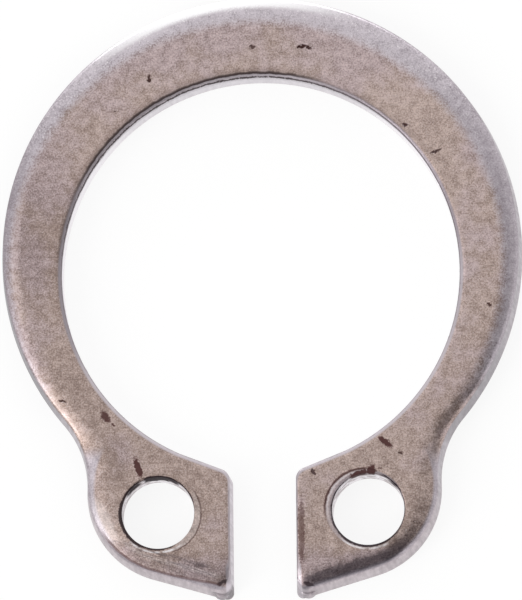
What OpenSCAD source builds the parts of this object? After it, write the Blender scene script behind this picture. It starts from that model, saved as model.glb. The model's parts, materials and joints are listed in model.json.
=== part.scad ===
// External retaining ring for a shaft groove, stamped from spring-steel strip.
// The beam tapers from the back to the gap and ends in two lugs with plier holes.
// The ring lies on its sharp face. The upper face has the rounded edges of the stamping.
// The origin is on the axis of the bore, in the lower face. The gap points to -Y.

/* [Ring] */
// Inside diameter of the free ring, for a 12 mm shaft
bore_d = 11; // [9:0.1:13]
// Thickness of the strip
thickness = 1; // [0.8:0.05:1.5]
// Width of the beam at the back, opposite the gap
back_w = 2.3; // [1.8:0.05:3]
// Width that the tapered beam would have at the gap
front_w = 1.1; // [0.8:0.05:1.5]

/* [Lugs] */
// Gap between the lugs of the free ring
gap_w = 1.74; // [1:0.02:2.4]
// Width across both lugs
lug_span = 9.8; // [9:0.1:10.6]
// Height of a lug, from the bore to its straight end
lug_reach = 3.4; // [3:0.05:4]
// Slope of a lug's straight end, in degrees
lug_slope = 16.5; // [10:0.5:22]
// Radius of a lug's outer corner
lug_r = 2.5; // [2:0.05:3]
// Radius of the hollow between the beam and a lug
fillet_r = 2.7; // [1.5:0.1:4]
// Angle from the gap at which a lug's inner edge leaves the bore, in degrees
relief_angle = 24.5; // [20:0.5:30]
// Radius of a lug's inner corner at the gap
corner_r = 0.32; // [0.2:0.01:0.5]
// Radius of a lug's outer corner at the gap
tip_r = 0.2; // [0.1:0.01:0.3]

/* [Plier holes] */
// Diameter of a plier hole
hole_d = 2; // [1.6:0.05:2.4]
// Distance between the centres of the holes
hole_pitch = 5.8; // [5.4:0.05:6.4]
// Width of the rounded upper rim of a hole
hole_rim_w = 0.07; // [0.04:0.01:0.2]

/* [Stamped edges] */
// How far the sheared outer wall leans in below the die roll
wall_lean = 0.09; // [0.04:0.01:0.2]
// Width of the tight curve of the die roll, at the top of the wall
roll_w = 0.16; // [0.08:0.01:0.25]
// Height of the tight curve
roll_h = 0.14; // [0.08:0.01:0.25]
// Width of the gentle dome from the tight curve to the flat face, along the beam
beam_dome_w = 0.42; // [0.2:0.02:0.6]
// Height of the dome along the beam
beam_dome_h = 0.065; // [0.03:0.005:0.1]
// Width of the dome round the lugs
lug_dome_w = 0.78; // [0.4:0.02:1]
// Height of the dome round the lugs
lug_dome_h = 0.11; // [0.06:0.01:0.15]
// Width of the rounded upper rim of the bore
rim_w = 0.15; // [0.08:0.01:0.25]
// How far the walls of the gap lean back
gap_lean = 0.05; // [0.01:0.01:0.08]
// Width of the edge break along the gap
gap_break = 0.06; // [0.02:0.01:0.1]
// Radius of the parting burr at a lug's tip
burr_r = 0.24; // [0.15:0.01:0.4]
// How far the burr stands out from the lug's straight end
burr_proud = 0.05; // [0.02:0.01:0.1]
// Height of the burr
burr_h = 0.45; // [0.2:0.05:0.7]

/* [Hidden] */
$fn = 128;

steel = "#a5978d";

// Number of straight pieces along each curve of an outline, and up each curve of the die roll
beam_steps = 36;
hollow_steps = 12;
lug_steps = 26;
corner_steps = 12;
roll_steps = 4;
dome_steps = 4;
// How far a cutting shape runs past the face that it cuts
past = 1;

bore_r = bore_d / 2;
gap_half = gap_w / 2;

// The outer edge of the beam is a circle that lies off the bore's axis, which tapers the beam
outer_r = (bore_d + back_w + front_w) / 2;
outer_c = [0, (back_w - front_w) / 2];

// The straight end of the right lug: its distance from the bore's axis, and its outward direction
end_dist = bore_r + lug_reach;
lug_end = lug_slope - 90;
end_dir = polar(lug_end);

// Centre of the right lug's outer corner
lug_c = at_distance(lug_span / 2 - lug_r, end_dist - lug_r);

// A plier hole sits half-way up its lug
hole_c = at_distance(hole_pitch / 2, bore_r + lug_reach / 2);

// Where the die roll of the beam starts, at the top of its straight wall
wall_top = roll_foot(beam_dome_w, beam_dome_h);

// A lug's inner edge leaves the bore along a straight line, turned a little from the tangent
relief_turn = 3;
relief_pitch = relief_angle - relief_turn;
relief_start = bore_r * polar(relief_angle - 90);
relief_in = relief_start + bore_r * sin(relief_turn) * polar(relief_pitch);
relief_drop = (relief_start.x - gap_half) * tan(relief_pitch);
corner_drop = corner_r * (1 - sin(relief_pitch)) / cos(relief_pitch);
corner_c = [gap_half + corner_r, relief_start.y - relief_drop - corner_drop];

// The lug's tip, between the wall of the gap and the straight end
tip_c = at_distance(gap_half + tip_r, end_dist - tip_r);
tip_margin = 8;
burr_c = at_distance(gap_half + tip_r + burr_r / 2, end_dist - burr_r + burr_proud);

function polar(angle) = [cos(angle), sin(angle)];
function direction(v) = atan2(v.y, v.x);
function flip(points) = [for (i = [len(points) - 1 : -1 : 0]) [-points[i].x, points[i].y]];
function at_height(points, z) = [for (p = points) [p.x, p.y, z]];

// Points along an arc in n straight pieces, without its first point
function arc(centre, r, from, to, n) =
    [for (i = [1 : n]) centre + r * polar(from + (to - from) * i / n)];

// The point at a given x that lies at a given distance along the right lug's end direction
function at_distance(x, d) = [x, (d - x * end_dir.x) / end_dir.y];

// The point at distance ra from a and rb from b, to the right of the way from b to a
function touching(a, ra, b, rb) =
    let (
        span = norm(b - a),
        along = (ra * ra - rb * rb + span * span) / (2 * span),
        aside = sqrt(ra * ra - along * along),
        u = (b - a) / span
    )
    a + along * u + aside * [-u.y, u.x];

// Outline of the blank, drawn in by beam_in along the beam and by lug_in round the lugs.
// The hollow between them touches the outer circle and the lug's corner from outside.
function blank_outline(beam_in, lug_in) =
    let (
        hollow_r = fillet_r + (beam_in + lug_in) / 2,
        hollow_c = touching(outer_c, outer_r - beam_in + hollow_r, lug_c, lug_r - lug_in + hollow_r),
        beam_end = direction(hollow_c - outer_c),
        lug_start = direction(hollow_c - lug_c),
        right_side = concat(
            arc(outer_c, outer_r - beam_in, 90, beam_end, beam_steps),
            arc(hollow_c, hollow_r, beam_end + 180, lug_start + 180, hollow_steps),
            arc(lug_c, lug_r - lug_in, lug_start, lug_end, lug_steps)
        ),
        top = outer_c + [0, outer_r - beam_in]
    )
    concat([top], right_side, [at_distance(0, end_dist - lug_in)], flip(right_side));

// Outline of the gap and of the relieved inner edges beside it, set out by grow
function throat_outline(grow) =
    let (
        out = polar(relief_pitch - 90),
        right_side = concat(
            [relief_in + grow * out],
            [corner_c - (corner_r - grow) * out],
            arc(corner_c, corner_r - grow, relief_pitch + 90, 180, corner_steps),
            [[gap_half + grow, -end_dist - past]]
        )
    )
    concat(right_side, flip(right_side));

// How far the tight curve of the die roll turns before it runs on smoothly into a dome
function roll_turn(dome_w, dome_h) = atan(roll_h * dome_w / (2 * dome_h * roll_w));

// Height at which the die roll below a dome starts
function roll_foot(dome_w, dome_h) = thickness - dome_h - roll_h * sin(roll_turn(dome_w, dome_h));

// How far the die roll and its dome have drawn back at height z
function roll_inset(z, dome_w, dome_h) =
    let (
        highest = sin(roll_turn(dome_w, dome_h)),
        rise = min(max((z - roll_foot(dome_w, dome_h)) / roll_h, 0), highest),
        below_face = min(max((thickness - z) / dome_h, 0), 1)
    )
    roll_w * (1 - sqrt(1 - rise * rise)) + dome_w * (1 - sqrt(below_face));

// Height of each level of the outer wall, from the sharp face up over the die roll and its dome
function wall_heights() = concat(
    [0],
    [for (i = [0 : roll_steps - 1])
        wall_top + roll_h * sin(roll_turn(beam_dome_w, beam_dome_h) * i / roll_steps)],
    [for (i = [dome_steps : -1 : 0]) thickness - beam_dome_h * i * i / (dome_steps * dome_steps)]
);

// Height and growth of each level of the gap's walls
function throat_levels() = [
    [-past, 0],
    [0, 0],
    [thickness - gap_break, gap_lean],
    [thickness, gap_lean + gap_break],
    [thickness + past, gap_lean + gap_break]
];

// Solid through a stack of outlines, each closed by triangles round the hub
module loft(rings, hub) {
    count = len(rings[0]);
    last = len(rings) - 1;
    low_hub = count * len(rings);
    hubs = [for (ring = [rings[0], rings[last]]) [hub.x, hub.y, ring[0].z]];
    sides = [for (k = [0 : last - 1], i = [0 : count - 1])
        let (j = (i + 1) % count)
        [k * count + i, k * count + j, (k + 1) * count + j, (k + 1) * count + i]];
    low_face = [for (i = [0 : count - 1]) [low_hub, (i + 1) % count, i]];
    high_face = [for (i = [0 : count - 1])
        [low_hub + 1, last * count + i, last * count + (i + 1) % count]];
    polyhedron([for (ring = rings) each ring, each hubs], concat(sides, low_face, high_face));
}

module both_sides() {
    children();
    mirror([1, 0, 0]) children();
}

module blank() {
    loft([for (z = wall_heights())
        let (
            lean = wall_lean * min(z / wall_top, 1),
            beam_in = lean + roll_inset(z, beam_dome_w, beam_dome_h),
            lug_in = lean + roll_inset(z, lug_dome_w, lug_dome_h)
        )
        at_height(blank_outline(beam_in, lug_in), z)], [0, 0]);
}

module throat() {
    hub = [0, (relief_in.y + corner_c.y) / 2];
    loft([for (level = throat_levels()) at_height(throat_outline(level[1]), level[0])], hub);
}

// Round cut of radius r through the strip, with a rounded upper rim of width w
module round_cut(r, w) {
    reach = 1.3 * w;
    rim_r = norm([reach, reach - w]);
    rotate_extrude() {
        translate([0, -past]) square([r, thickness + 2 * past]);
        difference() {
            translate([r - w, thickness - reach]) square([w + reach, reach + past]);
            translate([r + reach, thickness - reach]) circle(rim_r);
        }
    }
}

// What the rounded outer corner of a lug's tip leaves out
module tip_cut() {
    far = 4 * tip_r;
    rounded = arc(tip_c, tip_r, 180 + tip_margin, 360 + lug_end - tip_margin, corner_steps);
    translate([0, 0, -past]) linear_extrude(thickness + 2 * past)
        polygon(concat(
            [tip_c + tip_r * polar(180 + tip_margin)],
            rounded,
            [tip_c + far * end_dir, tip_c + far * [-1, -1], tip_c - [far, 0]]
        ));
}

module burr() {
    translate(burr_c) cylinder(h = burr_h, r = burr_r);
}

module retaining_ring() {
    color(steel) difference() {
        union() {
            difference() {
                blank();
                both_sides() tip_cut();
            }
            both_sides() burr();
        }
        round_cut(bore_r, rim_w);
        both_sides() translate(hole_c) round_cut(hole_d / 2, hole_rim_w);
        throat();
    }
}

retaining_ring();
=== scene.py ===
import json
import math

import bmesh
import bpy
from mathutils import Matrix, Vector


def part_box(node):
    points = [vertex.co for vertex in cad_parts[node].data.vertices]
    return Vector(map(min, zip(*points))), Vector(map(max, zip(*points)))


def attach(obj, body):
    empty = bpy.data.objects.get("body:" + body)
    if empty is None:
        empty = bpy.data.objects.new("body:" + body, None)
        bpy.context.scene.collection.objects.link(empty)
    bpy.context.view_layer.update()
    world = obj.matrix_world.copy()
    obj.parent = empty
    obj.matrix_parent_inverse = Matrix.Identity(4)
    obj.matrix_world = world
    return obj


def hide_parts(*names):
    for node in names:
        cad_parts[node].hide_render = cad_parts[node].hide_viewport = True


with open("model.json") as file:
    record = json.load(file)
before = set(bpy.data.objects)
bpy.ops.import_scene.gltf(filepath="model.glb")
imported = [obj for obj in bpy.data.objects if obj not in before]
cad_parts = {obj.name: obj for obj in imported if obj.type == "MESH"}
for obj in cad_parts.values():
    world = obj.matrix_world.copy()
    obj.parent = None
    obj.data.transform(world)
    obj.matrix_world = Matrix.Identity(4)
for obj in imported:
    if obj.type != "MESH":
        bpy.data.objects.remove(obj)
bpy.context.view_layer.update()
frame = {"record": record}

# The blank of the ring: one piece of hardened spring steel, stamped from strip a millimetre thick.
# The punch leaves a leaning sheared wall and domes the upper outer edge, most at the lugs.
# It is drawn here in millimetres, one half outline per height, and the heights are then bridged.
MM = 0.001
low, high = (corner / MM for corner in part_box("retaining_ring"))
mounts = {mount["name"]: mount for mount in frame["record"]["mounts"]}
thickness = high.z - low.z
bore_c = Vector((0, 0))
bore_r = mounts["shaft_bore"]["dims"]["r_mm"]
outer_r = (high.x - low.x) / 2
outer_c = Vector((0, high.y - outer_r))
lug_span = 9.8
lug_reach = 3.4
lug_slope = 16.5
lug_r = 2.5
hollow_r = 2.7
gap_half = 0.87
tip_foot_r = 0.18
tip_top_r = 0.36
corner_r = 0.32
relief_angle = 24.5
relief_pitch = 21.5
wall_lean = 0.06
gap_lean = 0.05
weld = 0.0005
mirror_weld = 0.002
level_slack = 0.0002
# Number of straight pieces along each stretch of the outline, from the back to the bore.
beam_steps = 160
hollow_steps = 30
lug_steps = 50
end_steps = 6
tip_steps = 10
gap_steps = 20
corner_steps = 12
relief_steps = 12
bore_steps = 280


class Edge:
    """A stamped upper edge: a tight corner of size w by h, and a gentle dome inside it."""

    def __init__(self, w, h, dome_w, dome_h):
        self.w, self.h, self.dome_w, self.dome_h = w, h, dome_w, dome_h
        self.turn = math.atan(h * dome_w / (2 * dome_h * w))
        self.foot = thickness - dome_h - h * math.sin(self.turn)

    def inset(self, z):
        """How far the edge has drawn back at height z."""
        rise = min(max((z - self.foot) / self.h, 0), math.sin(self.turn))
        on_dome = 1 - math.sqrt(min(max(thickness - z, 0) / self.dome_h, 1))
        return self.w * (1 - math.cos(math.asin(rise))) + self.dome_w * on_dome

    def heights(self, steps, dome_steps):
        """The heights of the outlines that the corner and the dome need."""
        corner = [self.foot + self.h * math.sin(self.turn * i / steps) for i in range(steps)]
        return corner + [thickness - self.dome_h * (1 - i / dome_steps) ** 2
                         for i in range(dome_steps + 1)]


beam_edge = Edge(w=0.15, h=0.13, dome_w=0.42, dome_h=0.065)
lug_edge = Edge(w=0.17, h=0.14, dome_w=0.58, dome_h=0.09)
rim_edge = Edge(w=0.06, h=0.08, dome_w=0.16, dome_h=0.03)
gap_edge = Edge(w=0.04, h=0.06, dome_w=0.08, dome_h=0.02)
roll_steps = 9
dome_steps = 8
wall_heights = (0, beam_edge.foot / 2, *beam_edge.heights(roll_steps, dome_steps))
heights = [round(z, 5) for z in wall_heights]
# Below the rims of the bore and the gap, the sheared wall is torn along a fine ragged line.
tear_depth = 0.01
tear_rough = 0.01
tear_first, tear_end = 6, 8
tear_heights = heights[tear_first:tear_end]


def polar(angle, r=1.0):
    """The point in this direction, in degrees, at distance r."""
    return Vector((r * math.cos(math.radians(angle)), r * math.sin(math.radians(angle))))


def direction(v):
    """The direction of a vector, in degrees."""
    return math.degrees(math.atan2(v.y, v.x))


end_out = polar(lug_slope - 90)
end_dist = bore_r + lug_reach


def beside_end(x, distance):
    """The point at x that lies at this distance, measured square to a lug's straight end."""
    return Vector((x, (distance - x * end_out.x) / end_out.y))


def touching(a, ra, b, rb):
    """The point at distance ra from a and rb from b, to the right of the way from b to a."""
    span = (b - a).length
    u = (b - a) / span
    along = (ra * ra - rb * rb + span * span) / (2 * span)
    aside = math.sqrt(ra * ra - along * along)
    return a + along * u + aside * Vector((-u.y, u.x))


lug_c = beside_end(lug_span / 2 - lug_r, end_dist - lug_r)
relief_start = polar(relief_angle - 90, bore_r)
relief_out = polar(relief_pitch - 90)


def draw_arc(centre, z, turn, steps):
    bpy.ops.mesh.spin(steps=steps, angle=-math.radians(turn), center=(*centre, z), axis=(0, 0, 1))


def draw_line(start, end, steps):
    step = (end - start) / steps
    for _ in range(steps):
        bpy.ops.mesh.extrude_region_move(TRANSFORM_OT_translate={"value": (*step, 0)})


def draw_half_outline(z):
    """The right half of the outline at height z, from the back round the lug to the bore."""
    lean = wall_lean * min(z / beam_edge.foot, 1)
    beam_in = lean + beam_edge.inset(z)
    lug_in = lean + lug_edge.inset(z)
    tear = tear_depth if z in tear_heights else 0
    rim_in = rim_edge.inset(z) + tear
    gap_x = gap_half + gap_lean * z / thickness + gap_edge.inset(z) + tear
    tip_r = tip_foot_r + (tip_top_r - tip_foot_r) * z / thickness

    mid_r = hollow_r + (beam_in + lug_in) / 2
    hollow_c = touching(outer_c, outer_r - beam_in + mid_r, lug_c, lug_r - lug_in + mid_r)
    beam_end = direction(hollow_c - outer_c)
    lug_start = direction(hollow_c - lug_c)
    lug_end = lug_slope - 90
    tip_c = beside_end(gap_x + tip_r, end_dist - lug_in - tip_r)
    relief_in = relief_start + relief_out * rim_in
    corner_x = gap_x + corner_r
    corner_y = (relief_in.y - (relief_in.x - corner_x) * math.tan(math.radians(relief_pitch))
                - corner_r / math.cos(math.radians(relief_pitch)))
    corner_c = Vector((corner_x, corner_y))

    bpy.ops.mesh.primitive_plane_add(size=0.1, location=(0, outer_c.y + outer_r - beam_in, z))
    bpy.ops.object.mode_set(mode="EDIT")
    bpy.ops.mesh.select_mode(type="VERT")
    bpy.ops.mesh.merge(type="CENTER")
    draw_arc(outer_c, z, beam_end - 90, beam_steps)
    draw_arc(hollow_c, z, lug_start - beam_end, hollow_steps)
    draw_arc(lug_c, z, lug_end - lug_start, lug_steps)
    draw_line(lug_c + (lug_r - lug_in) * end_out, tip_c + tip_r * end_out, end_steps)
    draw_arc(tip_c, z, -180 - lug_end, tip_steps)
    draw_line(tip_c - Vector((tip_r, 0)), corner_c - Vector((corner_r, 0)), gap_steps)
    draw_arc(corner_c, z, relief_pitch - 90, corner_steps)
    draw_line(corner_c - corner_r * relief_out, relief_in, relief_steps)
    draw_arc(bore_c, z, 90 - direction(relief_in), bore_steps)
    bpy.ops.object.mode_set(mode="OBJECT")
    return bpy.context.object


def select_parts(piece, parts, test):
    """In edit mode, selects the vertices, edges or faces of a piece that pass a test."""
    bpy.ops.mesh.select_all(action="DESELECT")
    bpy.ops.mesh.select_mode(type={"verts": "VERT", "edges": "EDGE", "faces": "FACE"}[parts])
    shape = bmesh.from_edit_mesh(piece.data)
    for part in getattr(shape, parts):
        part.select_set(test(part))
    bmesh.update_edit_mesh(piece.data)


def lies_at(*wanted):
    """A test for edges that lie level at one of these heights."""
    def test(edge):
        a, b = (round(vert.co.z, 4) for vert in edge.verts)
        return a == b and any(abs(a - z) < level_slack for z in wanted)
    return test


def apply_modifier(piece, kind, **settings):
    made = piece.modifiers.new(kind.lower(), kind)
    for name, value in settings.items():
        setattr(made, name, value)
    bpy.context.view_layer.objects.active = piece
    bpy.ops.object.modifier_apply(modifier=made.name)


bpy.ops.object.select_all(action="DESELECT")
outlines = [draw_half_outline(z) for z in heights]
for outline in outlines:
    outline.select_set(True)
bpy.ops.object.join()
ring = bpy.context.object
ring.name = "spring_ring"
bpy.ops.object.transform_apply()
bpy.ops.object.mode_set(mode="EDIT")
for below, above in zip(heights, heights[1:]):
    select_parts(ring, "edges", lies_at(below, above))
    bpy.ops.mesh.bridge_edge_loops()
bpy.ops.object.mode_set(mode="OBJECT")
apply_modifier(ring, "MIRROR", merge_threshold=mirror_weld)
bpy.ops.object.mode_set(mode="EDIT")
for face_height in (heights[0], heights[-1]):
    select_parts(ring, "edges", lies_at(face_height))
    bpy.ops.mesh.edge_face_add()
bpy.ops.mesh.select_all(action="SELECT")
bpy.ops.mesh.remove_doubles(threshold=weld)
bpy.ops.mesh.normals_make_consistent(inside=False)


def on_tear(vert):
    """A test for the vertices of the torn line, in the bore and in the gap."""
    near_bore = bore_r + 0.1
    near_gap = gap_half + 0.2
    inner = vert.co.xy.length < near_bore or abs(vert.co.x) < near_gap
    at_height = heights[tear_first - 1] < vert.co.z < heights[tear_end]
    return inner and vert.co.y < near_bore and at_height


select_parts(ring, "verts", on_tear)
bpy.ops.transform.vertex_random(offset=tear_rough, seed=5)
bpy.ops.object.mode_set(mode="OBJECT")

# Each lug keeps a low parting burr at the foot of its tip, where the blank broke off the strip.
# It is of the same steel, a rounded stub that stands out from the lug's straight end.
burr_r = 0.24
burr_x = 1.19
burr_proud = 0.048
burr_h = 0.45
burr_round = 0.06
burr_sides = 64


def combine(piece, other, operation):
    """Joins another shape on to a piece, or cuts it away, and uses it up."""
    bpy.ops.object.select_all(action="DESELECT")
    apply_modifier(piece, "BOOLEAN", operation=operation, solver="MANIFOLD", object=other)
    bpy.data.objects.remove(other)


for side in (1, -1):
    burr_c = beside_end(burr_x, end_dist - burr_r + burr_proud)
    bpy.ops.object.select_all(action="DESELECT")
    bpy.ops.mesh.primitive_cylinder_add(
        vertices=burr_sides, radius=burr_r, depth=burr_h,
        location=(side * burr_c.x, burr_c.y, burr_h / 2))
    burr = bpy.context.object
    bpy.ops.object.transform_apply()
    bpy.ops.object.mode_set(mode="EDIT")
    select_parts(burr, "edges", lies_at(burr_h))
    bpy.ops.mesh.bevel(offset=burr_round, segments=4)
    bpy.ops.object.mode_set(mode="OBJECT")
    combine(ring, burr, "UNION")

# The plier holes are punched through the lugs, with a narrow rounded rim on the upper face.
# The punch also set down a shallow crescent beside each hole, on the side of the gap.
hole_r = mounts["plier_hole_right"]["dims"]["r_mm"]
hole_sides = 160
hole_rim_w = 0.07
hole_rim_turn = math.radians(80)
hole_rim_steps = 6
crescent_r = 1.11
crescent_shift = 0.09
crescent_depth = 0.025
past = 0.5
right_hole, left_hole = (Vector(mounts[name]["pos_m"][:2]) / MM
                         for name in ("plier_hole_right", "plier_hole_left"))
right_crescent = right_hole + polar(165, crescent_shift)
left_crescent = left_hole + polar(-25, crescent_shift)


def flared_punch(centre):
    """A round cutter that flares out over the height of a hole's rim."""
    foot = thickness - hole_rim_w
    depth = foot + past
    bpy.ops.object.select_all(action="DESELECT")
    bpy.ops.mesh.primitive_cylinder_add(
        vertices=hole_sides, radius=hole_r, depth=depth, location=(*centre, foot - depth / 2))
    punch = bpy.context.object
    bpy.ops.object.transform_apply()
    bpy.ops.object.mode_set(mode="EDIT")
    select_parts(punch, "faces", lambda face: face.normal.z > 0.9)
    z, r = foot, hole_r
    for i in range(1, hole_rim_steps + 1):
        turn = hole_rim_turn * i / hole_rim_steps
        next_z = foot + hole_rim_w * math.sin(turn) / math.sin(hole_rim_turn)
        next_r = hole_r + hole_rim_w * (1 - math.cos(turn))
        bpy.ops.mesh.extrude_region_move(TRANSFORM_OT_translate={"value": (0, 0, next_z - z)})
        bpy.ops.transform.resize(
            value=(next_r / r, next_r / r, 1), center_override=(*centre, next_z))
        z, r = next_z, next_r
    bpy.ops.mesh.extrude_region_move(TRANSFORM_OT_translate={"value": (0, 0, past)})
    bpy.ops.object.mode_set(mode="OBJECT")
    return punch


def crescent_punch(centre):
    """A round cutter that only sinks a little way into the upper face."""
    depth = crescent_depth + past
    bpy.ops.object.select_all(action="DESELECT")
    bpy.ops.mesh.primitive_cylinder_add(
        vertices=hole_sides, radius=crescent_r, depth=depth,
        location=(*centre, thickness - crescent_depth + depth / 2))
    return bpy.context.object


for hole_c, crescent_c in ((right_hole, right_crescent), (left_hole, left_crescent)):
    combine(ring, crescent_punch(crescent_c), "DIFFERENCE")
    combine(ring, flared_punch(hole_c), "DIFFERENCE")

# Small pits and nicks in the upper face, where scale came away before the ring was tumbled.
# Each has its place, its length and width, its turn, its depth, and how dark its stain is.
chip_rough = 0.14
pits = [
    (-3.03, 5.52, 0.25, 0.10, 90, 0.035, 0.95),
    (-0.17, 6.34, 0.18, 0.15, 45, 0.03, 0.85),
    (1.20, 6.33, 0.30, 0.12, 9, 0.035, 1.0),
    (1.40, 6.29, 0.20, 0.09, -28, 0.03, 0.95),
    (4.05, 4.07, 0.20, 0.125, -4, 0.018, 0.95),
    (4.88, 3.31, 0.33, 0.07, 17, 0.02, 0.85),
    (6.30, -0.99, 0.17, 0.11, -66, 0.018, 0.9),
    (-3.98, 4.60, 0.05, 0.04, 0, 0.02, 0.8),
    (-3.84, 4.67, 0.04, 0.03, 0, 0.02, 0.6),
    (-5.51, -3.50, 0.26, 0.08, -25, 0.02, 0.9),
    (1.40, -5.60, 0.22, 0.10, -62, 0.018, 0.9),
    (3.81, -5.10, 0.12, 0.09, 0, 0.018, 0.85),
]
for seed, (pit_x, pit_y, long, wide, turn, deep, _) in enumerate(pits):
    bpy.ops.object.select_all(action="DESELECT")
    bpy.ops.mesh.primitive_ico_sphere_add(subdivisions=2, radius=1)
    chip = bpy.context.object
    bpy.ops.object.mode_set(mode="EDIT")
    bpy.ops.transform.vertex_random(offset=chip_rough, seed=seed)
    bpy.ops.object.mode_set(mode="OBJECT")
    chip.scale = (long / 2, wide / 2, deep)
    chip.rotation_euler = (0, 0, math.radians(turn))
    chip.location = (pit_x, pit_y, thickness)
    combine(ring, chip, "DIFFERENCE")

# The shape is now complete. It is welded, brought to metres and shaded smooth, with crisp pits.
smooth_angle = 20
bpy.ops.object.select_all(action="DESELECT")
ring.select_set(True)
bpy.context.view_layer.objects.active = ring
bpy.ops.object.mode_set(mode="EDIT")
bpy.ops.mesh.select_all(action="SELECT")
bpy.ops.mesh.remove_doubles(threshold=weld)


def on_pit_rim(edge):
    """A test for the edges where a pit breaks the flat upper face."""
    in_face = all(vert.co.z > thickness - weld for vert in edge.verts)
    spot = edge.verts[0].co.xy
    return in_face and any((spot - Vector(pit[:2])).length < pit[2] for pit in pits)


select_parts(ring, "edges", on_pit_rim)
bpy.ops.mesh.mark_sharp()
bpy.ops.object.mode_set(mode="OBJECT")
ring.scale = (MM, MM, MM)
bpy.ops.object.transform_apply()
bpy.ops.object.shade_smooth_by_angle(angle=math.radians(smooth_angle))
apply_modifier(ring, "WEIGHTED_NORMAL", keep_sharp=True)

# The finish of the steel: a warm brown film from hardening on the flat face, tumbled to a satin.
# The outer edge is rubbed back to cool bare steel, partly a painted cool reflection, and the
# punched walls are paler still, with a painted reflection of the white table. Painted highlights
# and painted shade lie on edges and rims.
# Rust and grime sit in the pits, on the lugs and along the rims of the bore and the holes.
satin = 0.36
grain_relief = 0.01
tan_dark = (0.24, 0.175, 0.152, 1)
tan_light = (0.645, 0.515, 0.468, 1)
mauve_dark = (0.22, 0.165, 0.162, 1)
mauve_light = (0.615, 0.495, 0.495, 1)
bare_dark = (0.275, 0.24, 0.266, 1)
bare_light = (0.603, 0.55, 0.592, 1)
highlight_white = (0.96, 0.95, 0.96, 1)
rim_light = (0.42, 0.38, 0.41, 1)
rim_front = (0.52, 0.47, 0.50, 1)
rim_dark = (0.235, 0.205, 0.225, 1)
lilac = (0.50, 0.45, 0.49, 1)
lilac_light = (0.66, 0.60, 0.65, 1)
fleck = (0.45, 0.39, 0.40, 1)
wall_shade_grey = (0.215, 0.195, 0.22, 1)
pink_dark = (0.36, 0.31, 0.335, 1)
pink_light = (0.66, 0.585, 0.615, 1)
wall_top = (0.56, 0.52, 0.56, 1)
wall_foot = (0.94, 0.90, 0.94, 1)
burr_grey = (0.36, 0.335, 0.35, 1)
pale_colour = (0.80, 0.76, 0.77, 1)
dark_reflection_colour = (0.06, 0.05, 0.064, 1)
lip_colour = (0.034, 0.022, 0.027, 1)
grime_colour = (0.036, 0.022, 0.023, 1)
pit_and_shade_colour = (0.055, 0.021, 0.018, 1)
rust_colour = (0.07, 0.022, 0.021, 1)


class Wire:
    """A socket in a material's node tree.

    Arithmetic on it adds Math nodes, and | takes the larger of two values.
    """

    def __init__(self, tree, socket=None):
        self.tree = tree
        self.socket = socket

    def node(self, kind, settings=None, inputs=None, output=0):
        """Adds a node, with its settings first and then the values or links of its sockets."""
        made = self.tree.nodes.new(kind)
        for name, value in (settings or {}).items():
            setattr(made, name, value)
        for name, value in (inputs or {}).items():
            if isinstance(value, Wire):
                self.tree.links.new(value.socket, made.inputs[name])
            else:
                made.inputs[name].default_value = value
        return Wire(self.tree, made.outputs[output])

    def math(self, operation, *values):
        return self.node("ShaderNodeMath", {"operation": operation}, dict(enumerate(values)))

    def __add__(self, other):
        return self.math("ADD", self, other)

    def __sub__(self, other):
        return self.math("SUBTRACT", self, other)

    def __rsub__(self, other):
        return self.math("SUBTRACT", other, self)

    def __mul__(self, other):
        return self.math("MULTIPLY", self, other)

    __radd__ = __add__
    __rmul__ = __mul__

    def __or__(self, other):
        return self.math("MAXIMUM", self, other)

    def __abs__(self):
        return self.math("ABSOLUTE", self)

    def __pow__(self, power):
        return self.math("POWER", self, power)

    def ramp(self, start, end):
        """0 at start, 1 at end, and smooth between."""
        return self.node(
            "ShaderNodeMapRange", {"interpolation_type": "SMOOTHSTEP"},
            {"Value": self, "From Min": start, "From Max": end})

    def between(self, start, full, fade, end):
        """0 at start and at end, 1 from full to fade, and smooth between."""
        return self.ramp(start, full) * self.ramp(end, fade)

    def near(self, value, outer, inner):
        """1 within the inner distance of a value, and 0 from the outer one on."""
        return abs(self - value).ramp(outer, inner)

    def blend(self, first, second):
        """The first colour where this is 0, the second where it is 1."""
        return self.node("ShaderNodeMix", {"data_type": "RGBA"}, {0: self, 6: first, 7: second}, 2)

    def noise(self, scale, detail=2.0, roughness=0.5):
        """An even pattern between 0 and 1, with this many spots to a millimetre."""
        return self.node(
            "ShaderNodeTexNoise", None,
            {"Vector": self, "Scale": scale, "Detail": detail, "Roughness": roughness})

    def moved(self, operation, other):
        """Arithmetic on a place, for each of its three parts."""
        return self.node("ShaderNodeVectorMath", {"operation": operation}, {0: self, 1: other})

    def reach(self, x, y, long=2.0, wide=2.0, turn=0.0):
        """Distance from a point of the face, as a share of an oval's half length and width."""
        local = self.node(
            "ShaderNodeMapping", {"vector_type": "TEXTURE"},
            {"Vector": self, "Location": (x, y, 0), "Rotation": (0, 0, math.radians(turn)),
             "Scale": (long / 2, wide / 2, 1000)})
        return local.node("ShaderNodeVectorMath", {"operation": "LENGTH"}, {0: local}, "Value")


steel = bpy.data.materials.new("tumbled_spring_steel")
steel.use_nodes = True
tree = Wire(steel.node_tree)
place = tree.node("ShaderNodeTexCoord", None, None, "Object")
place = place.node("ShaderNodeVectorMath", {"operation": "SCALE"}, {0: place, "Scale": 1 / MM})
x, y, z = (place.node("ShaderNodeSeparateXYZ", None, {0: place}, axis) for axis in "XYZ")

# Distances below the upper face, in from the outer edge, and out from the bore.
depth = thickness - z
upper_side = depth.ramp(0.3, 0.2)
off_face = depth.ramp(0.005, 0.02)
from_edge = outer_r - place.reach(*outer_c)
from_bore = place.reach(*bore_c) - bore_r

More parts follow.
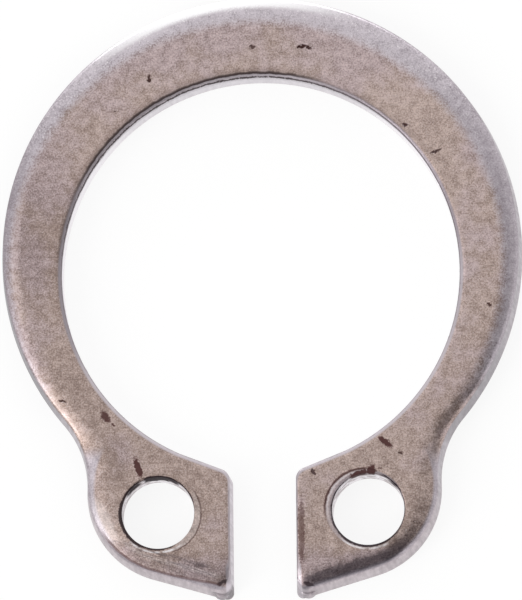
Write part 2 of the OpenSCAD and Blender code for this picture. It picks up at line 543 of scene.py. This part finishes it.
# The patterns of the steel, from fine grain to wide clouds, and two places that wander a little.
grain = (place.noise(21, detail=3, roughness=0.7) - 0.5) * 1.35 + 0.5
mottle = place.noise(4, detail=3, roughness=0.6)
clouds = place.noise(0.6)
specks = place.noise(26, detail=0).ramp(0.68, 0.78)
streaks = place.moved("MULTIPLY", (1, 1, 0.12)).noise(9)
wander = place.node(
    "ShaderNodeTexNoise", None, {"Vector": place, "Scale": 10.0, "Detail": 2.0}, "Color")
wander = wander.moved("SUBTRACT", (0.5, 0.5, 0.5)).moved("MULTIPLY", (0.16, 0.16, 0))
ragged = wander.moved("ADD", place)
frayed = wander.moved("MULTIPLY", (0.4, 0.4, 0)).moved("ADD", place)


def towards(way, centre, r):
    """How far a point lies from a centre in one direction, as a share of a radius."""
    return ((x - centre.x) * way[0] + (y - centre.y) * way[1]) * (1 / r)


def uneven(wire, by):
    """A value that the mottling moves up and down."""
    return wire + (mottle - 0.5) * by


# The film is tan towards the bore and mauve towards the outer edge.
# Its tone carries painted light towards the back right and painted shade on the left,
# with a painted dark band inside the right edge and a painted highlight inside the left edge.
dark_tone, light_tone = 0.33, 0.69
light_side = towards((0.5, 0.7), bore_c, outer_r)
left_shade = place.reach(-6.2, 1.1, 5, 4.8).ramp(1.2, 0.2)
left_shade = left_shade | place.reach(-4.05, -5.2, 0.9, 1.9).ramp(1.1, 0.3)
edge_band = from_edge.near(0.4, 0.2, 0.05)
right_band_shade = edge_band * towards((1, 0), bore_c, outer_r).ramp(0.8, 0.97)
left_band_highlight = edge_band * towards((-1, 0), bore_c, outer_r).ramp(0.85, 0.98)
tone = grain * 0.5 + mottle * 0.35 + clouds * 0.12 + 0.015 - right_band_shade * 0.06 + left_band_highlight * 0.1
film_tone = tone + 0.006 + light_side * 0.03 - left_shade * 0.05
film_tone = film_tone.ramp(dark_tone, light_tone)
mauve = uneven(clouds, 0.4) + (from_bore - 1) * 0.12 * y.ramp(-5.5, -3.5)
mauve = mauve + y.ramp(5.0, 6.5) * 0.12 - y.ramp(-3.8, -5.0) * 0.15
mauve = mauve - place.reach(4.3, 4.6, 4, 3).ramp(1, 0.3) * 0.15
mauve = (mauve + y.ramp(-7.3, -8.3) * 0.3).ramp(0.35, 0.65)
tan_film = film_tone.blend(tan_dark, tan_light)
mauve_film = film_tone.blend(mauve_dark, mauve_light)
film = mauve.blend(tan_film, mauve_film)

# Bare steel shows on the outer edge, widest at the back, and goes on down the sheared wall.
# The cool band is partly a painted reflection, with painted light at the back and painted shade on
# the left.
back_side = towards((-0.05, 1), outer_c, outer_r)
to_back = back_side.ramp(0.2, 0.8)
left_side_shade = x.ramp(-5.5, -7.0) * back_side.ramp(0.6, 0.3)
edge_bare_and_sheen = 0.35 + back_side * 0.4 + x * 0.018 - from_edge + (grain - 0.5) * 0.35
edge_bare_and_sheen = uneven(edge_bare_and_sheen, 0.3).ramp(-0.22, 0.14) * y.ramp(-4.2, -2.6)
bare_tone_with_light = (tone - 0.5) * (0.6 + to_back * 0.4) + 0.5
bare_tone_with_light = bare_tone_with_light + back_side.ramp(0.4, 0.95) * 0.1 - left_side_shade * 0.08
bare_steel_with_light = bare_tone_with_light.ramp(dark_tone, light_tone).blend(bare_dark, bare_light)
# A painted highlight, near white, lies on the back of the outer edge.
toward_back_edge = towards((-0.17, 0.98), outer_c, outer_r)
back_edge_highlight = toward_back_edge.ramp(0.8, 0.96) * (from_edge + (grain - 0.5) * 0.15).ramp(0.42, 0.26)
back_edge_highlight = back_edge_highlight * depth.ramp(0.34, 0.2)
outer_wall = depth.ramp(0.12, 0.18)
wall_streaks = (bare_tone_with_light * 0.65 + streaks * 0.35).ramp(dark_tone, light_tone)
sheared = wall_streaks.blend(bare_dark, bare_light)
# The wall is painted lighter and pinker on the front walls of the lugs, and painted shade lies on
# it on the left, in the right hollow and at the right tip.
sheared = y.ramp(-5.6, -7.0).blend(sheared, wall_streaks.blend(pink_dark, pink_light))
hollow_side = x.ramp(4.6, 5.2) * y.between(-1.6, -2.6, -4.4, -5.0)
right_tip = x.between(0.8, 0.9, 1.1, 1.3) * y.ramp(-7.7, -8.1)
sheared = ((hollow_side | right_tip) * 0.5).blend(sheared, wall_shade_grey)
sheared = (x.ramp(-2, -6) * y.ramp(-4.5, -3)).blend(sheared, wall_shade_grey)

# The rims of the bore and the gap are bare too, with painted shade at the sides and painted light
# at the front.
in_gap = abs(x).ramp(gap_half + 0.19, gap_half + 0.15)
inner = from_bore.ramp(0.5, 0.3) | in_gap * y.ramp(-4.8, -5.2)
inner_rim = inner * off_face
rim_shade = towards((0.77, 0.64), bore_c, bore_r).ramp(0.75, 0.95)
rim_shade = rim_shade | x.ramp(0.7, 0.8) * y.ramp(-5.4, -5.8) * 0.4
rim_shade = rim_shade | towards((-1, 0), bore_c, bore_r).ramp(0.85, 0.98) * 0.6
rim_lit = y.ramp(-0.5, -3) | towards((-0.6, 0.8), bore_c, bore_r).ramp(0.8, 0.97)
rim_steel = rim_shade.blend(rim_lit.blend(rim_light, rim_front), rim_dark)

# The punched walls of the bore, the gap and the holes are pale, with a torn line under the rim.
# Their tone is a painted reflection of the white table: lightest at the foot and on the right,
# darker at the back.
in_left, in_right = (place.reach(*hole_c).ramp(hole_r + 0.06, hole_r + 0.02)
                     for hole_c in (left_hole, right_hole))
in_hole = in_left | in_right
inner_wall = (inner | in_hole) * depth.ramp(0.09, 0.13)
wall_reflection_and_streaks = z.ramp(0.95, 0.5) + (streaks - 0.5) * 0.5
wall_reflection_and_streaks = wall_reflection_and_streaks - y.ramp(2.5, 5) * 0.6 + x.ramp(2.5, 4.5) * 0.6
wall_colour = wall_reflection_and_streaks.ramp(0, 1).blend(wall_top, wall_foot)
gap_wall = in_gap * y.ramp(-5.2, -5.6)
gap_tone = streaks.ramp(0.3, 0.7) * (1 - x.ramp(0.7, 0.9))
wall_colour = gap_wall.blend(wall_colour, gap_tone.blend(lilac, lilac_light))
wall_colour = (in_hole * mottle.ramp(0.38, 0.6)).blend(wall_colour, fleck)
tear = uneven(from_bore - depth * 0.18, 0.07) + (grain - 0.5) * 0.05
tear = tear.near(-0.005, 0.032, 0.012) * from_bore.ramp(0.3, 0.2) * streaks.ramp(0.24, 0.4)
gap_tear = abs(x).near(gap_half + 0.08, 0.025, 0.01) * depth.ramp(0.2, 0.15)
gap_tear = gap_tear * y.between(-5.9, -6.1, -8.2, -8.4) * streaks.ramp(0.25, 0.4)
tear = tear | gap_tear * 0.8
burr_zone = y.ramp(-8.58, -8.66) * abs(x).ramp(1.5, 1.4) * z.ramp(0.6, 0.5)
burr_zone = burr_zone * (mottle.ramp(0.42, 0.6) * 0.6 + 0.4) * (1 - x.ramp(-0.5, 0.5) * 0.6)

# Grime lies along the back of the bore's rim and in the pits, and the torn line is darkened.
bore_back = towards((-0.42, 0.91), bore_c, bore_r)
bore_line = uneven(from_bore, 0.06)
bore_dirt = bore_back.ramp(0.45, 0.6) * 0.4 | bore_back.ramp(0.6, 0.9)
bore_dirt = bore_dirt | towards((0.47, 0.88), bore_c, bore_r).ramp(0.91, 0.98) * 0.4
grime_and_step_shade = bore_line.ramp(0.2, 0.12) * 0.95 | bore_line.ramp(0.36, 0.17) * 0.3
grime_and_step_shade = grime_and_step_shade * bore_line.ramp(0.065, 0.095) * bore_dirt
grime_and_step_shade = grime_and_step_shade | tear * (0.3 + bore_back.ramp(0.3, 0.9) * 0.6)
for *oval, _, strength in pits:
    grime_and_step_shade = grime_and_step_shade | ragged.reach(*oval).ramp(1.1, 0.7) * upper_side * strength

# The rims of the holes have a black lip, with a painted highlight line in front of it.
# Pale specks and painted highlight lines gather here.
painted_glints = specks * (0.25 + edge_bare_and_sheen * to_back * 0.5)
left_lip = towards(polar(205), left_hole, hole_r) * 0.07 + 0.035
left_lip = left_lip | towards(polar(40), left_hole, hole_r).ramp(0.75, 0.98) * 0.05
left_strength = 0.9
right_lip = towards(polar(270), right_hole, hole_r) * 0.035 + 0.05
right_strength = 0.85 - towards(polar(15), right_hole, hole_r).ramp(0.3, 0.9) * 0.35
hole_rim = place.reach(*right_hole).ramp(hole_r + 0.09, hole_r + 0.05) * off_face
lip_dirt = 0.0
for hole_c, lip, strength in ((left_hole, left_lip, left_strength),
                              (right_hole, right_lip, right_strength)):
    lip = uneven(lip, 0.08) + hole_r - frayed.reach(*hole_c)
    lip_dirt = lip.ramp(0, 0.03) * depth.ramp(0.16, 0.1) * strength | lip_dirt
    front_line = place.reach(*hole_c).near(hole_r + 0.11, 0.04, 0.015)
    front_line = front_line * towards(polar(265), hole_c, hole_r).ramp(0.75, 1.0)
    painted_glints = painted_glints | front_line * mottle.ramp(0.3, 0.6)

# Black scabs run from the rim down the back wall of the holes.
scabs = [(left_hole, 84, 0.86), (left_hole, 135, 0.95), (right_hole, 47, 0.97)]
for hole_c, angle, spread in scabs:
    scab = uneven(towards(polar(angle), hole_c, hole_r), 0.1).ramp(spread, spread + 0.04)
    scab = scab * uneven(hole_r + 0.045 - place.reach(*hole_c), 0.06).ramp(0, 0.02)
    lip_dirt = lip_dirt | scab * uneven(depth, 0.8).ramp(0.65, 0.5) * 0.97

# The left crescent has a painted shade line along its step and the right one a red edge, and both
# have paler floors.
left_floor = towards(polar(-18), left_hole, hole_r).ramp(0.65, 0.85) * depth.ramp(0.08, 0.05)
left_line = crescent_r - frayed.reach(*left_crescent)
grime_and_step_shade = grime_and_step_shade | left_line.near(0, 0.035, 0.01) * left_floor * 0.6
left_floor = left_floor * left_line.ramp(0, 0.03)
right_floor = place.reach(*right_crescent).ramp(crescent_r, crescent_r - 0.04)
right_line = crescent_r - frayed.reach(*right_crescent)
stained_side = (y + x * 0.3).ramp(-6.6, -5.9) * x.ramp(3.1, 2.7)
rust = right_line.near(0, 0.045, 0.015) * stained_side * 0.8 * depth.ramp(0.12, 0.08)
# A painted highlight line runs just inside the right crescent's red edge.
painted_glints = painted_glints | right_line.near(0.07, 0.03, 0.01) * stained_side * 0.6

# Distance in from the outer edge of a lug, over its straight end and its round corner.
lug_out = (abs(x) - lug_c.x) * end_out.x + (y - lug_c.y) * end_out.y
lug_aside = (abs(x) - lug_c.x) * -end_out.y + (y - lug_c.y) * end_out.x | 0.0
from_lug = lug_r - (lug_out ** 2 + lug_aside ** 2) ** 0.5


def brush_lines(turn, narrow, scale):
    """Fine streaks along a lug's straight end, that break up the painted dark reflection of its
    edge.
    """
    drawn = place.node(
        "ShaderNodeMapping", {"vector_type": "TEXTURE"},
        {"Vector": place, "Rotation": (0, 0, math.radians(turn)), "Scale": (1, narrow, 1)})
    return drawn.noise(scale)


# The rolled edges of the lugs and of the right hollow carry a painted dark reflection, in brushed
# lines.
right_brush = brush_lines(lug_slope, narrow=0.1, scale=3)
left_brush = brush_lines(-lug_slope, narrow=0.08, scale=2.5)
right_roll = uneven(from_lug + (right_brush - 0.5) * 0.2, 0.12).ramp(0.54, 0.36)
right_roll = right_roll * (from_lug - lug_aside.ramp(0.3, 1.5) * 0.14).ramp(0.06, 0.15)
right_roll = right_roll * lug_out.ramp(1.4, 2.2) * x.ramp(0.9, 1.2)
left_roll = from_lug.between(0.15, 0.25, 0.6, 0.95) * lug_out.ramp(1.7, 1.9) * x.ramp(-1.1, -1.5)
left_foot = from_lug.between(0.08, 0.14, 0.34, 0.42) * lug_out.ramp(1.7, 2.0) * x.ramp(-1.0, -1.4)
hollow_c = touching(outer_c, outer_r + hollow_r, lug_c, lug_r + hollow_r)
hollow_line = uneven(place.reach(*hollow_c), 0.1).near(hollow_r + 0.29, 0.12, 0.03)
hollow_line = hollow_line * x.ramp(4.0, 4.5) * y.between(-1.6, -3.0, -4.7, -5.3)
painted_dark_reflection = right_roll * (0.55 + right_brush * 0.3)
painted_dark_reflection = painted_dark_reflection | left_roll * left_brush.ramp(0.4, 0.6) * 0.45 | left_foot * 0.3
painted_dark_reflection = painted_dark_reflection | place.reach(-3.79, -7.74, 1.3, 0.5, -38).ramp(1.2, 0.4) * 0.35
painted_dark_reflection = painted_dark_reflection | hollow_line * (0.08 + right_brush * 0.3)

# Outside the painted dark reflection the edges of the lugs are bare, partly a painted cool
# reflection, and painted highlights lie on some places.
end_side = lug_out.ramp(1.5, 2.0)
left_end = end_side * x.ramp(-1.0, -1.4)
end_line = uneven(from_lug - 0.14 - x.ramp(-2.6, -1.2) * 0.08, 0.04)
lug_bare_and_sheen = from_lug.ramp(0.24, 0.14) * lug_out.ramp(-0.5, 0.3) * x.ramp(0.5, 0.9)
lug_bare_and_sheen = lug_bare_and_sheen | from_lug.ramp(0.3, 0.18) * x.ramp(-4.0, -4.4) * y.ramp(-4.7, -5.2)
lug_bare_and_sheen = lug_bare_and_sheen | end_line.ramp(0.02, -0.04) * end_side * x.ramp(-0.6, -0.9)
rust = rust | end_line.near(0, 0.05, 0.02) * left_end * depth.ramp(0.3, 0.22) * 0.5
painted_glints = painted_glints | uneven(from_lug, 0.1).near(0.44, 0.1, 0.02) * left_end * grain * 0.3
rubbed_highlight = ragged.reach(-4.36, -6.88, 1.9, 0.5, -65).ramp(1.1, 0.3) * 0.25
rubbed_highlight = rubbed_highlight | ragged.reach(0.98, -5.32, 0.8, 0.45, 40).ramp(1.2, 0.5) * 0.4
edge_highlight = uneven(from_edge, 0.1).ramp(0.3, 0.15) * x.ramp(-4.0, -4.6)
rubbed_highlight = rubbed_highlight | edge_highlight * y.between(-2.2, -3.2, -3.8, -4.4) * 0.08

# Each stain of rust has its place, its length and width, its turn, and its strength.
stains = [
    (-4.32, -3.95, 0.42, 0.20, -55, 0.9),
    (-4.12, -4.17, 0.16, 0.08, -40, 0.9),
    (-3.43, -5.39, 0.62, 0.18, -74, 0.95),
    (3.40, -4.80, 0.50, 0.17, -37, 0.95),
    (2.65, -5.66, 0.56, 0.18, 18, 0.95),
    (3.00, -5.59, 0.36, 0.26, 75, 0.95),
    (3.24, -5.52, 0.12, 0.07, 0, 0.9),
    (1.06, -7.25, 1.90, 0.20, 90, 0.65),
]
for *oval, strength in stains:
    stain = (ragged.reach(*oval) + (grain - 0.5) * 0.5).ramp(1.2, 0.7)
    rust = rust | stain * depth.ramp(0.4, 0.25) * strength

# The smudges at the tips of the lugs are given in the same way.
smudges = [
    (-1.76, -8.16, 0.45, 0.18, -10, 0.4),
    (-1.15, -8.62, 0.34, 0.16, 35, 0.85),
    (1.25, -8.70, 0.36, 0.12, -10, 0.8),
]
for *oval, strength in smudges:
    lip_dirt = lip_dirt | ragged.reach(*oval).ramp(1.15, 0.6) * upper_side * strength

# The colours lie over one another in this order, from the film up.
layers = [
    (edge_bare_and_sheen, bare_steel_with_light),
    (painted_glints, pale_colour),
    (right_floor * 0.4, lilac),
    (left_floor * 0.15, pale_colour),
    (lug_bare_and_sheen, bare_steel_with_light),
    (rubbed_highlight, pale_colour),
    (outer_wall, sheared),
    (painted_dark_reflection * depth.ramp(0.3, 0.24), dark_reflection_colour),
    (inner_rim, rim_steel),
    (hole_rim * 0.7, rim_dark),
    (back_edge_highlight, highlight_white),
    (inner_wall, wall_colour),
    (burr_zone, burr_grey),
    (z.ramp(0.02, 0.005), film),
    (lip_dirt, lip_colour),
    (rust, rust_colour),
    (grime_and_step_shade, from_bore.ramp(0.19, 0.22).blend(grime_colour, pit_and_shade_colour)),
]
colour = film
for mask, coat in layers:
    colour = mask.blend(colour, coat)

dirt_and_shade = rust | grime_and_step_shade | lip_dirt
bump = tree.node(
    "ShaderNodeBump", None,
    {"Strength": 0.3, "Distance": grain_relief * MM, "Height": grain + mottle})
shader = steel.node_tree.nodes["Principled BSDF"]
finish = {
    "Base Color": colour,
    "Roughness": satin + (grain - 0.5) * 0.3 + (dirt_and_shade | burr_zone) * 0.4,
    "Metallic": 1 - (rust | grime_and_step_shade) * 0.35,
    "Normal": bump,
}
for name, wire in finish.items():
    steel.node_tree.links.new(wire.socket, shader.inputs[name])
ring.data.materials.clear()
ring.data.materials.append(steel)

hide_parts("retaining_ring")
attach(ring, "root")

# The ring lies on a plain white table, in a white surround.
# Both are seen as white, by the eye and in the metal, and the table keeps the ring's soft shadow.
white = (1, 1, 1, 1)
table_white = (0.9, 0.9, 0.9, 1)
table_size = 4000
table_drop = 0.02
fill_level = 0.95
shadow_share = 0.15


def is_seen(wire):
    """1 where the eye meets a surface, directly or in the metal."""
    seen = [wire.node("ShaderNodeLightPath", None, None, name)
            for name in ("Is Camera Ray", "Is Glossy Ray", "Is Transmission Ray")]
    return seen[0] | seen[1] | seen[2]


surround = bpy.data.worlds.new("white_surround")
surround.use_nodes = True
bpy.context.scene.world = surround
background = surround.node_tree.nodes["Background"]
background.inputs["Color"].default_value = white
level = is_seen(Wire(surround.node_tree)) * (1 - fill_level) + fill_level
surround.node_tree.links.new(level.socket, background.inputs["Strength"])

bpy.ops.object.select_all(action="DESELECT")
bpy.ops.mesh.primitive_plane_add(size=table_size * MM, location=(0, 0, -table_drop * MM))
table = bpy.context.object
table.name = "white_table"
table_paint = bpy.data.materials.new("white_table_top")
table_paint.use_nodes = True
paint = Wire(table_paint.node_tree)
matt = paint.node("ShaderNodeBsdfDiffuse", None, {"Color": table_white})
glow = paint.node("ShaderNodeEmission", None, {"Color": white, "Strength": 1.0})
top = paint.node(
    "ShaderNodeMixShader", None, {0: is_seen(paint) * (1 - shadow_share), 1: matt, 2: glow})
table_out = table_paint.node_tree.nodes["Material Output"]
table_paint.node_tree.links.new(top.socket, table_out.inputs["Surface"])
table.data.materials.append(table_paint)

# Soft lamps stand round the table: a tall warm one at the left front, a low wide one at the back.
# A dark curtain on the camera's side shows only in the metal, as the dim side of the room.
# Their sizes and distances are in metres.
lamp_distance = 0.5
curtain_r = 0.45
curtain_spread = 23
curtain_colour = (0.1, 0.09, 0.1, 1)


def sky_point(azimuth, elevation):
    """The way from the ring to a point of the sky."""
    return Vector((*polar(azimuth, math.cos(math.radians(elevation))),
                   math.sin(math.radians(elevation))))


def add_lamp(name, azimuth, elevation, wide, tall, level, colour):
    """A soft lamp that faces the ring, equally bright at any size."""
    bpy.ops.object.light_add(type="AREA")
    lamp = bpy.context.object
    lamp.name = name
    away = sky_point(azimuth, elevation)
    lamp.location = away * lamp_distance
    lamp.rotation_euler = away.to_track_quat("Z", "Y").to_euler()
    lamp.data.shape = "RECTANGLE"
    lamp.data.size = wide
    lamp.data.size_y = tall
    lamp.data.energy = level * math.pi * wide * tall
    lamp.data.color = colour


add_lamp("front_left_lamp", azimuth=208, elevation=40, wide=0.14, tall=0.42,
         level=4.3, colour=(1.0, 0.985, 0.97))
add_lamp("back_lamp", azimuth=98, elevation=11, wide=0.6, tall=0.16,
         level=2.5, colour=(0.97, 0.98, 1.0))

curtain_middle = sky_point(azimuth=-42, elevation=66)
bpy.ops.object.select_all(action="DESELECT")
bpy.ops.mesh.primitive_uv_sphere_add(segments=120, ring_count=60, radius=curtain_r)
curtain = bpy.context.object
curtain.name = "dark_curtain"


def off_curtain(face):
    return math.degrees(face.calc_center_median().angle(curtain_middle)) > curtain_spread


bpy.ops.object.mode_set(mode="EDIT")
select_parts(curtain, "faces", off_curtain)
bpy.ops.mesh.delete(type="FACE")
bpy.ops.object.mode_set(mode="OBJECT")
cloth = bpy.data.materials.new("dark_cloth")
cloth.use_nodes = True
weave = cloth.node_tree.nodes["Principled BSDF"]
weave.inputs["Base Color"].default_value = curtain_colour
weave.inputs["Roughness"].default_value = 1.0
curtain.data.materials.append(cloth)
curtain.visible_camera = False
curtain.visible_diffuse = False
curtain.visible_shadow = False
curtain.visible_transmission = False

# The camera looks down on the ring, a little from the front, as through a long lens.
# It is aimed so that the axis of the bore falls on its own pixel of the picture.
photo_w, photo_h = 522, 600
bore_px, bore_py = 262.41, 278.92
px_per_mm = 36.165
view_tilt = 10.21
tilt_azimuth = -72.0
view_turn = -0.85
camera_distance = 600
sensor = 36

tilt_axis = Vector((*polar(tilt_azimuth + 90), 0))
view = Matrix.Rotation(math.radians(view_turn), 4, "Z")
view = view @ Matrix.Rotation(math.radians(view_tilt), 4, tilt_axis)
aim_x = (photo_w / 2 - bore_px) / px_per_mm
aim_y = (bore_py - photo_h / 2) / px_per_mm
bpy.ops.object.camera_add()
camera = bpy.context.object
camera.location = (view @ Vector((aim_x, aim_y, camera_distance))) * MM
camera.rotation_euler = view.to_euler()
camera.data.sensor_width = sensor
camera.data.lens = camera_distance * sensor * px_per_mm / photo_h
bpy.context.scene.camera = camera
bpy.context.scene.view_settings.view_transform = "Standard"
